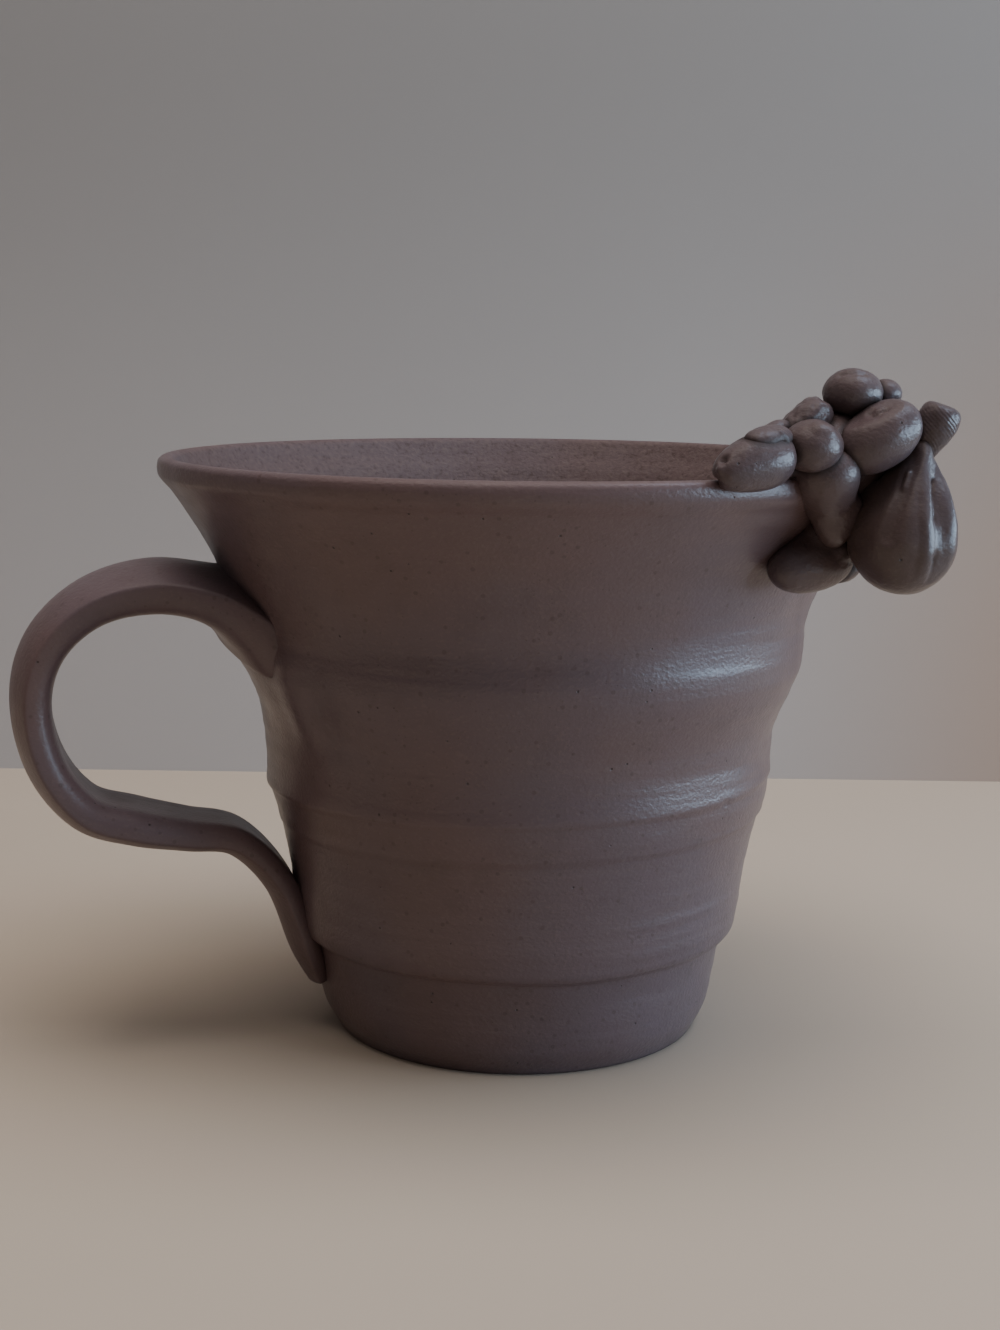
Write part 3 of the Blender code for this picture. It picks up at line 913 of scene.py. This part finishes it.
@dataclass(frozen=True)
class Stroke:
    """A mark of the finger or tool on a lump: pressed in, or raised where depth is negative.

    The path is (turn, lift) in degrees, to the right of the front and up, from the lump's middle.
    A crisp mark has a sharp middle line, and one that fades is shallower towards its path's end.
    """

    path: tuple[Point, ...]
    width: float
    depth: float
    crisp: bool = False
    fades: bool = False

    def trace(self) -> list[Vector]:
        """Turns the path into directions.

        Returns:
            The directions of its points from the lump's middle.
        """
        ways = []
        for turn, lift in self.path:
            side, up = math.radians(turn), math.radians(lift)
            level = math.cos(up)
            ways.append(Vector((math.sin(side) * level, -math.cos(side) * level, math.sin(up))))
        return ways

    def push(self, offset: Vector, trace: list[Vector]) -> float:
        """How far the mark moves a point outwards.

        Args:
            offset: The point, from the lump's middle.
            trace: The path as directions.

        Returns:
            The move along the surface's normal.
        """
        size = offset.length
        way = offset / size
        nearest, along = (way - trace[0]).length, 0.0
        for index, (start, end) in enumerate(zip(trace, trace[1:])):
            span = end - start
            part = min(max((way - start).dot(span) / span.length_squared, 0.0), 1.0)
            distance = (way - start - span * part).length
            if distance < nearest:
                nearest, along = distance, (index + part) / (len(trace) - 1)
        away = nearest * size / self.width
        if away >= 1:
            return 0.0
        depth = self.depth * (1 - along**4) if self.fades else self.depth
        return -depth * ((1 - away) ** 2 if self.crisp else (1 - away * away) ** 2)


@dataclass
class Lump:
    """One rolled lump of clay, in the frame of the animal's seat on the lip.

    The frame's X runs outwards from the mug's axis, Y along the rim away from the snout, and Z
    up. size is (across, across, along the axis), and taper thickens the end that axis points to.
    hand is how far the surface strays from true, and fullness makes the ends blunt.
    """

    name: str
    size: Triple
    axis: Triple = (0.0, 0.0, 1.0)
    taper: float = 0.0
    hand: float = 0.10
    strokes: tuple[Stroke, ...] = ()
    fineness: int = 5
    fullness: float = 0.0
    # How far from a neighbour the painted seam shade reaches, in millimetres.
    seam_shade_reach: float = 0.75
    place: Vector = field(default_factory=Vector)

    def turn(self) -> Quaternion:
        """The rotation that takes +Z to the lump's axis."""
        return Vector((0.0, 0.0, 1.0)).rotation_difference(Vector(self.axis).normalized())

    def reach(self, way: Vector) -> float:
        """How far the lump reaches from its middle in a direction."""
        own_way = self.turn().inverted() @ way.normalized()
        return 1 / math.sqrt(sum((2 * part / side) ** 2 for part, side in zip(own_way, self.size)))

    def press_on(self, neighbour: "Lump", towards: Triple, press: float) -> "Lump":
        """Places the lump against a neighbour.

        Args:
            neighbour: The lump that it is pressed onto.
            towards: The side of the neighbour that it goes on.
            press: How deep it is pressed.

        Returns:
            The lump itself.
        """
        way = Vector(towards).normalized()
        self.place = neighbour.place + way * (neighbour.reach(way) + self.reach(-way) - press)
        return self

    def touches(self, other: "Lump") -> bool:
        """Whether the two lumps are close enough to share a seam, which gets painted shade."""
        return (self.place - other.place).length < (max(self.size) + max(other.size)) / 2

    def widening(self, along: float, around: float) -> float:
        """How much wider the lump is than its ellipsoid.

        Args:
            along: The height along its axis, from -1 to 1.
            around: The turn about its axis.

        Returns:
            A ratio, which grows towards blunt ends with the lump's fullness.
        """
        return (1 + self.taper * along) * (1.02 - along * along) ** (-self.fullness / 2)

    def above(self, point: Vector) -> float:
        """How far a point of the seat's frame lies above the lump's surface.

        Args:
            point: The point.

        Returns:
            The height, which is negative inside the lump.
        """
        own = self.turn().inverted() @ (point - self.place)
        away = own.length
        along = min(max(own.z / (self.size[2] / 2), -1.0), 1.0)
        wide = self.widening(along, math.atan2(own.y, own.x))
        sides = (self.size[0] * wide, self.size[1] * wide, self.size[2])
        ratio = math.sqrt(sum((2 * part / side) ** 2 for part, side in zip(own, sides)))
        return away - away / ratio

    def build(
        self, seat: Matrix, neighbours: list["Lump"], slot: str, material: bpy.types.Material
    ) -> bpy.types.Object:
        """Models the lump.

        Args:
            seat: The frame of the animal's seat.
            neighbours: The lumps along whose seams with this one a painted shade is laid.
            slot: The record's material slot, which is not used.
            material: Its finish.

        Returns:
            The piece.
        """
        shape = bmesh.new()
        bmesh.ops.create_icosphere(shape, subdivisions=self.fineness, radius=1.0)
        seam_shade = shape.verts.layers.float.new("seam_shade")
        turn = self.turn().to_matrix()
        spin = seat.to_3x3() @ turn
        middle = seat @ self.place
        radii = Vector(self.size) / 2
        marks = [(stroke, stroke.trace()) for stroke in self.strokes]
        for vert in shape.verts:
            unit = vert.co.copy()
            wide = self.widening(unit.z, math.atan2(unit.y, unit.x))
            own = Vector((unit.x * radii.x * wide, unit.y * radii.y * wide, unit.z * radii.z))
            offset = spin @ own
            outward = (spin @ Vector(u / r for u, r in zip(unit, radii))).normalized()
            point = middle + offset
            uneven = noise.noise(point * 0.33) + noise.noise(point * 1.1) * 0.35
            push = uneven * self.hand
            push += sum(stroke.push(offset, trace) for stroke, trace in marks)
            vert.co = point + outward * push
            seated = self.place + turn @ own
            gaps = [other.above(seated) for other in neighbours]
            # Painted seam shade: strongest where a neighbour's surface is nearest.
            vert[seam_shade] = max((hump(gap, 0.0, self.seam_shade_reach) for gap in gaps), default=0.0)
        return finished_piece(shape, "modelled_" + self.name, self.name, material)


@dataclass
class Sack(Lump):
    """The hanging sack: a heavy drop that is drawn in towards its neck."""

    draw: float = 0.43
    lobes: int = 5
    lobe_height: float = 0.018

    def widening(self, along: float, around: float) -> float:
        """How much wider than its ellipsoid: drawn in above, and a little uneven all round.

        Args:
            along: The height along its axis, from -1 to 1.
            around: The turn about its axis.

        Returns:
            A ratio.
        """
        drawn = 0.95 - self.draw * along - 0.18 * along * along
        lobe = self.lobe_height * math.cos(self.lobes * around + 0.6)
        return drawn * (1 + lobe * (1 - along**2))


@dataclass
class SackNeck(Lump):
    """The sack's gathered mouth, twisted like a cord."""

    ridges: int = 16
    twist: float = 3.1
    ridge_height: float = 0.007

    def widening(self, along: float, around: float) -> float:
        """How much wider than its ellipsoid, with ridges that wind round it.

        Args:
            along: The height along its axis, from -1 to 1.
            around: The turn about its axis.

        Returns:
            A ratio.
        """
        wound = math.cos(self.ridges * (around + self.twist * along))
        uneven = 1 + 0.5 * math.sin(3 * around + 5 * along)
        return super().widening(along, around) * (1 + self.ridge_height * wound * uneven)


@dataclass
class Leg(Lump):
    """The leg: a funnel that narrows in a hollow curve down to the foot.

    It has its hip width three quarters of the way up, and its lower end is blunt.
    """

    ankle_width: float = 3.6
    hip_width: float = 10.6
    hollowness: float = 1.6
    bluntness: float = 0.44

    def widening(self, along: float, around: float) -> float:
        """How much wider than its ellipsoid: much at the hip, and little at the ankle.

        Args:
            along: The height along its axis, from -1 to 1.
            around: The turn about its axis.

        Returns:
            A ratio.
        """
        part = ((along + 1) / 1.50) ** self.hollowness
        wanted = self.ankle_width + (self.hip_width - self.ankle_width) * part
        blunt = (1.01 - along * along) ** -self.bluntness if along < 0 else 1.0
        return wanted / self.size[0] * blunt


@dataclass
class ModelledAnimal:
    """The small animal that hangs over the lip, rolled and pressed together lump by lump."""

    curve: WallCurve = field(default_factory=WallCurve)
    azimuth: float = -38.0
    foot_drop: float = 12.1
    foot_shift: float = -2.0
    hip_offset: Triple = (1.9, -7.7, 1.0)
    heel_length: float = 3.9

    def body(self) -> list[Lump]:
        """The torso, and the arm, shoulder and neck that were pressed onto it.

        Returns:
            The torso, the arm, the shoulder and the neck.
        """
        # Its neighbours are pressed onto a plain core, and the finished torso is a little thicker.
        core = Lump("torso", (10.2, 10.2, 16.6), (0.0, 1.0, 0.0))
        core.place = Vector((0.8, -1.2, 3.4))
        haunch = (Stroke(((92, -20), (90, -40), (84, -62)), 3.4, -1.2),)
        torso = Lump("torso", (10.8, 10.8, 16.4), (0.0, 1.0, 0.0), strokes=haunch)
        torso.place = Vector((0.8, -0.2, 2.9))
        arm_strokes = (
            Stroke(((-66, 42), (-36, 58), (0, 72)), 3.0, 0.85),
            Stroke(((-60, 60), (-38, 54), (-18, 60), (8, 66)), 0.9, 0.42),
            Stroke(((-26, 66), (-8, 72)), 1.0, -0.22),
            Stroke(((68, 47), (67, 30), (69, 14)), 1.8, -0.18),
        )
        arm = Lump("arm", (8.5, 8.5, 12.2), (0.53, 0.65, 0.54), strokes=arm_strokes)
        arm.press_on(core, (0.96, -0.04, 0.27), 3.3)
        crest = (Stroke(((14, 44), (34, 38)), 1.8, -0.34),)
        shoulder = Lump("shoulder", (7.9, 7.9, 6.8), strokes=crest)
        shoulder.press_on(core, (0.14, -0.99, 0.08), 3.4)
        neck = Lump("neck", (6.0, 6.4, 8.6), (0.25, 0.62, 0.74), hand=0.46, fullness=0.3)
        neck.press_on(core, (-0.24, -0.88, 0.41), 3.8)
        return [torso, arm, shoulder, neck]

    def face(self, shoulder: Lump, neck: Lump) -> list[Lump]:
        """The head, its snout resting along the lip, and its two ears.

        Args:
            shoulder: The lump that the head is pressed onto.
            neck: The lump that the far ear is pressed onto.

        Returns:
            The head, the near ear and the far ear.
        """
        head_strokes = (
            Stroke(((-50, 7),), 0.85, 0.75),
            Stroke(((-50, -6),), 0.85, -0.36),
            Stroke(((-84, -16), (-58, -24)), 1.0, 0.40),
            Stroke(((-30, 34), (6, 46)), 2.2, -0.20),
        )
        head = Lump(
            "head",
            (7.2, 7.2, 11.8),
            (0.28, 0.93, 0.22),
            taper=0.22,
            strokes=head_strokes,
            fullness=0.32,
        )
        head.press_on(shoulder, (-0.37, -0.90, -0.22), 0.3)
        crease = (
            Stroke(((-40, -12), (50, -20)), 0.8, 0.30),
            Stroke(((58, 30), (76, -10)), 0.7, -0.22),
        )
        near_ear = Lump(
            "near_ear", (4.2, 3.2, 7.0), (0.25, 0.93, 0.10), strokes=crease, fullness=0.3
        )
        near_ear.press_on(head, (0.34, 0.40, 0.85), 2.35)
        slit = (Stroke(((-60, 12), (0, 4), (60, -4)), 0.6, 0.40, crisp=True),)
        far_ear = Lump("far_ear", (2.8, 3.0, 6.0), (0.20, 0.80, 0.30), strokes=slit)
        far_ear.press_on(neck, (-0.29, -0.95, -0.09), 1.1)
        return [head, near_ear, far_ear]

    def bundles(self, torso: Lump) -> list[Lump]:
        """The two balls on the animal's back.

        Args:
            torso: The lump that they are pressed onto.

        Returns:
            The upper one and the small one.
        """
        fold = (
            Stroke(((-46, 40), (-10, 49), (30, 46)), 0.7, 0.38, crisp=True),
            Stroke(((-30, 62), (10, 66)), 1.2, -0.15),
        )
        upper = Lump("upper_bundle", (7.8, 7.8, 6.4), strokes=fold)
        upper.press_on(torso, (0.20, -0.02, 0.98), 0.7)
        small = Lump("small_bundle", (4.7, 4.7, 3.8))
        small.press_on(upper, (0.54, 0.84, -0.02), 1.5)
        return [upper, small]

    def legs(self, torso: Lump) -> list[Lump]:
        """The feet pressed against the wall, and the leg that reaches down to the near one.

        Args:
            torso: The lump that the leg starts from.

        Returns:
            The near foot, the far foot and the leg.
        """
        instep = (
            Stroke(((-118, 70), (-150, 80), (170, 84)), 3.4, -0.8),
            Stroke(((112, 68), (150, 60)), 3.0, -2.0),
            Stroke(((90, 44), (83, 28)), 2.1, -1.1),
        )
        near_foot = Lump(
            "near_foot", (7.3, 7.3, 12.9), (0.36, 0.92, 0.12), strokes=instep, fullness=0.2
        )
        wall = self.curve.radius(self.curve.lip_top - self.foot_drop)
        standoff = wall + near_foot.reach(Vector((-1.0, 0.0, 0.0))) - 0.3
        outwards = standoff - self.curve.lip_middle
        near_foot.place = Vector((outwards, self.foot_shift, -self.foot_drop))
        far_foot = Lump("far_foot", (4.4, 4.4, 7.0), (0.30, 0.90, 0.25))
        far_foot.press_on(near_foot, (0.30, 0.95, -0.09), 3.7)
        hip = torso.place + Vector(self.hip_offset)
        heel = near_foot.place + Vector(near_foot.axis).normalized() * self.heel_length
        upwards = (hip - heel).normalized()
        ankle = heel + upwards * (near_foot.reach(upwards) - 1.4)
        calf = (
            Stroke(((96, -20), (92, -66), (90, -82)), 2.8, -1.3),
            Stroke(((36, 64), (72, 36)), 2.8, 1.0),
        )
        leg = Leg("leg", (8.0, 8.0, (hip - ankle).length), tuple(upwards), strokes=calf)
        leg.place = (hip + ankle) / 2
        return [near_foot, far_foot, leg]

    def sacks(self, arm: Lump) -> list[Lump]:
        """The sack that hangs from the arm, and its gathered mouth.

        Args:
            arm: The lump that the sack hangs from.

        Returns:
            The sack and its mouth.
        """
        main_ridge = ((62, 78), (35, 67), (20, 37), (14, 4), (14, -38), (14, -60))
        main_groove = ((46, 58), (33, 34), (28, 8), (28, -38), (29, -60))
        main_crease = ((37, 52), (28, 34), (23, 4), (23, -38), (24, -60))
        outer_ridge = ((62, 56), (49, 24), (49, -2), (54, -40))
        folds = (
            Stroke(main_ridge, 1.7, -0.62, fades=True),
            Stroke(main_groove, 2.6, 0.66, fades=True),
            Stroke(main_crease, 0.8, 0.66, crisp=True, fades=True),
            Stroke(outer_ridge, 2.3, -0.46, fades=True),
            Stroke(((-2, 77), (-18, 55), (-20, 33), (-24, 10), (-30, -14)), 1.5, 0.42),
            Stroke(((-15, 62), (-20, 44)), 0.65, -0.40),
            Stroke(((6, 66), (0, 36), (-4, 4), (-6, -16)), 2.6, -0.24),
            Stroke(((-44, 52), (-58, 16), (-62, -16)), 2.4, 0.28),
            Stroke(((-100, 6), (-98, -16), (-96, -30)), 2.6, -0.24),
            Stroke(((-105, 36), (-102, 19)), 2.1, -0.60),
            Stroke(((92, 55), (96, 20), (94, -14)), 2.0, 0.45),
            Stroke(((140, 60), (146, 20), (150, -18)), 2.2, 0.40),
            Stroke(((-120, 58), (-128, 16), (-124, -20)), 2.2, 0.40),
        )
        sack = Sack("sack", (13.8, 13.8, 20.2), (0.10, 0.10, 0.99), strokes=folds, fineness=6)
        sack.press_on(arm, (0.21, 0.36, -0.91), 1.4)
        mouth = SackNeck(
            "sack_neck",
            (5.0, 5.0, 7.6),
            (0.28, 0.23, 0.92),
            taper=0.34,
            hand=0.24,
            fineness=6,
            fullness=0.5,
        )
        mouth.press_on(sack, (0.14, 0.24, 0.96), 2.2)
        return [sack, mouth]

    def build(
        self, skin: bpy.types.Material, sack_skin: bpy.types.Material
    ) -> list[bpy.types.Object]:
        """Models every lump.

        Args:
            skin: The animal's finish.
            sack_skin: The sack's finish.

        Returns:
            The pieces.
        """
        turn = Matrix.Rotation(math.radians(self.azimuth), 4, "Z")
        on_lip = Vector((self.curve.lip_middle, 0.0, self.curve.lip_top))
        seat = turn @ Matrix.Translation(on_lip)
        torso, arm, shoulder, neck = self.body()
        sacks = self.sacks(arm)
        lumps = [torso, arm, shoulder, neck, *self.face(shoulder, neck)]
        lumps += self.bundles(torso) + self.legs(torso) + sacks
        pieces = []
        for lump in lumps:
            touching = [other for other in lumps if other is not lump and other.touches(lump)]
            finish = ("sack_clay", sack_skin) if lump in sacks else ("animal_clay", skin)
            pieces.append(lump.build(seat, touching, *finish))
        return pieces


@dataclass
class Studio:
    """A pale floor, a backdrop, soft lights and the camera.

    Its sizes are metres, except the camera's lens and sensor, which are millimetres. The camera's
    angles are degrees, and the lights all aim at one point of the mug.
    """

    backdrop_distance: float = 0.162
    floor_size: float = 1.6
    lens: float = 51.43
    sensor_width: float = 36.0
    eye: Triple = (0.0, -0.2846, 0.1028)
    pitch: float = 9.65
    yaw: float = -0.59
    roll: float = 0.64
    aim: Triple = (0.0, 0.0, 0.05)

    def sheet(self, name: str, turn: Matrix, finish: Plaster) -> bpy.types.Object:
        """A flat sheet of the studio.

        Args:
            name: Its name.
            turn: Where it goes.
            finish: Its surface.

        Returns:
            The sheet.
        """
        shape = bmesh.new()
        bmesh.ops.create_grid(shape, x_segments=4, y_segments=4, size=self.floor_size, matrix=turn)
        mesh = bpy.data.meshes.new(name)
        shape.to_mesh(mesh)
        shape.free()
        mesh.materials.append(finish.material())
        sheet = bpy.data.objects.new(name, mesh)
        bpy.context.scene.collection.objects.link(sheet)
        return sheet

    def light(
        self,
        name: str,
        place: Triple,
        sides: Point,
        power: float,
        colour: Colour,
        shines: bool = True,
    ) -> None:
        """A soft light that faces the mug.

        Args:
            name: Its name.
            place: Where it hangs.
            sides: Its width and height.
            power: Its power in watts.
            colour: Its colour.
            shines: Whether glossy clay mirrors it.
        """
        lamp = bpy.data.lights.new(name, "AREA")
        lamp.shape = "RECTANGLE"
        lamp.size, lamp.size_y = sides
        lamp.energy = power
        lamp.color = colour
        holder = bpy.data.objects.new(name, lamp)
        holder.visible_glossy = shines
        holder.location = place
        ahead = Vector(self.aim) - Vector(place)
        holder.rotation_euler = ahead.to_track_quat("-Z", "Y").to_euler()
        bpy.context.scene.collection.objects.link(holder)

    def camera(self) -> None:
        """The camera, at the photograph's place and tilt."""
        pitch, yaw, roll = (math.radians(angle) for angle in (self.pitch, self.yaw, self.roll))
        ahead = Vector(
            (math.sin(yaw) * math.cos(pitch), math.cos(yaw) * math.cos(pitch), -math.sin(pitch))
        )
        right = ahead.cross(Vector((0.0, 0.0, 1.0))).normalized()
        up = right.cross(ahead)
        right, up = (
            right * math.cos(roll) + up * math.sin(roll),
            up * math.cos(roll) - right * math.sin(roll),
        )
        data = bpy.data.cameras.new("camera")
        data.lens = self.lens
        data.sensor_width = self.sensor_width
        data.clip_start = 0.01
        camera = bpy.data.objects.new("camera", data)
        tilt = Matrix((right, up, -ahead)).transposed().to_4x4()
        camera.matrix_world = Matrix.Translation(Vector(self.eye)) @ tilt
        bpy.context.scene.collection.objects.link(camera)
        bpy.context.scene.camera = camera

    def build(self) -> None:
        """Sets the whole studio up."""
        floor = self.sheet("floor", Matrix(), Plaster("pale_table", (0.48, 0.396, 0.318)))
        upright = Matrix.Translation(Vector((0.0, self.backdrop_distance, 0.0)))
        upright = upright @ Matrix.Rotation(math.pi / 2, 4, "X")
        # The backdrop carries a painted shade at the top and a painted warm light at the right.
        wall = Plaster(
            "pale_wall",
            (0.462, 0.427, 0.410),
            high=(0.285, 0.266, 0.254),
            glow=(0.37, 0.258, 0.190),
            see_through_back=True,
        )
        self.sheet("backdrop", upright, wall)
        world = bpy.data.worlds.new("soft_room")
        world.use_nodes = True
        air = world.node_tree.nodes["Background"]
        air.inputs["Color"].default_value = (1.0, 0.95, 0.96, 1.0)
        air.inputs["Strength"].default_value = 0.15
        bpy.context.scene.world = world
        daylight, sky = (0.56, 0.77, 1.0), (0.58, 0.76, 1.0)
        lamplight, bounced = (1.0, 0.88, 0.70), (1.0, 0.95, 0.91)
        self.light("window", (0.55, -0.06, 0.11), (0.56, 0.22), 3.4, daylight)
        self.light("skylight", (0.30, -0.02, 0.52), (0.20, 0.26), 0.6, sky)
        self.light("ceiling", (0.045, 0.0, 0.80), (0.72, 0.72), 7.9, bounced, shines=False)
        self.light("lamp_glow", (-0.08, -0.10, 0.70), (0.60, 0.60), 0.5, lamplight)
        self.camera()


def main() -> None:
    """Builds the mug and its studio."""
    logging.basicConfig(level=logging.INFO, format="%(message)s")
    cup_finish = Stoneware("thrown_stoneware", Working.THROWN)
    handle_finish = replace(
        cup_finish,
        name="pulled_stoneware",
        working=Working.PULLED,
        roughness=0.39,
        grain_height=0.060,
        line_height=0.05,
    )
    skin = Stoneware(
        "modelled_stoneware",
        Working.MODELLED,
        clay=(0.092, 0.063, 0.063),
        flashed=(0.084, 0.063, 0.071),
        dust=(0.160, 0.120, 0.100),
        roughness=0.35,
        grain_height=0.085,
    )
    sack_skin = replace(
        skin,
        name="sack_stoneware",
        clay=(0.078, 0.053, 0.050),
        flashed=(0.072, 0.053, 0.057),
        grain_height=0.06,
    )
    ThrownCup().build(cup_finish.material())
    PulledHandle().build(handle_finish.material())
    ModelledAnimal().build(skin.material(), sack_skin.material())
    Studio().build()


if __name__ == "__main__":
    main()
